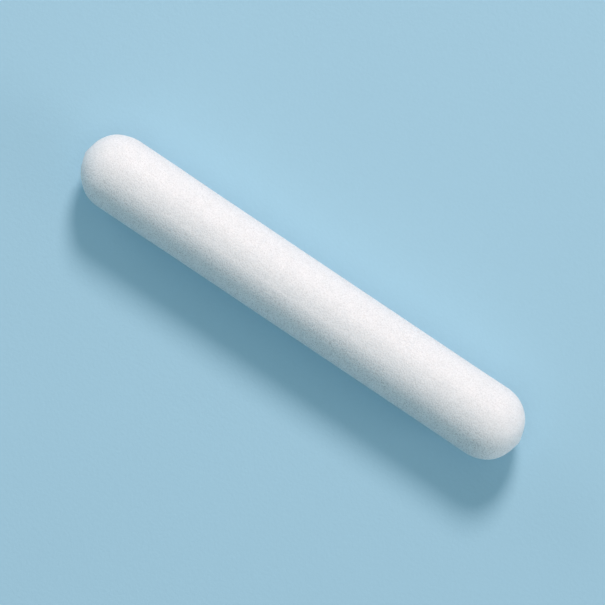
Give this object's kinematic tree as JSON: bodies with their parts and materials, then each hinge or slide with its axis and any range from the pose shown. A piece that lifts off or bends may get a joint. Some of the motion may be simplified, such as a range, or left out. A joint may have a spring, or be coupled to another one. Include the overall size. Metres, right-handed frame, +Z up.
{
  "type": "magnetic stir bar",
  "caption": "Smooth white rod with blunt domed ends, moulded shut around a rod magnet, that a magnetic stirrer spins in the bottom of a flask to mix a liquid.",
  "frame": {"origin": "middle of the bar, on its axis, halfway between its tips", "axes": "+X along the bar's axis, +Z up; the bar is as it lies on a vessel's flat bottom, which is half its diameter below the origin"},
  "size_m": [0.0604, 0.009, 0.009],
  "materials": {
    "ptfe_jacket": "white fluoropolymer as moulded: waxy satin, very slightly translucent, with a fine mottled grain",
    "alnico_magnet": "cast aluminium-nickel-cobalt alloy, centreless-ground, dull dark grey"
  },
  "bodies": {
    "root": {"jacket": "ptfe_jacket", "magnet": "alnico_magnet"}
  },
  "joints": []
}
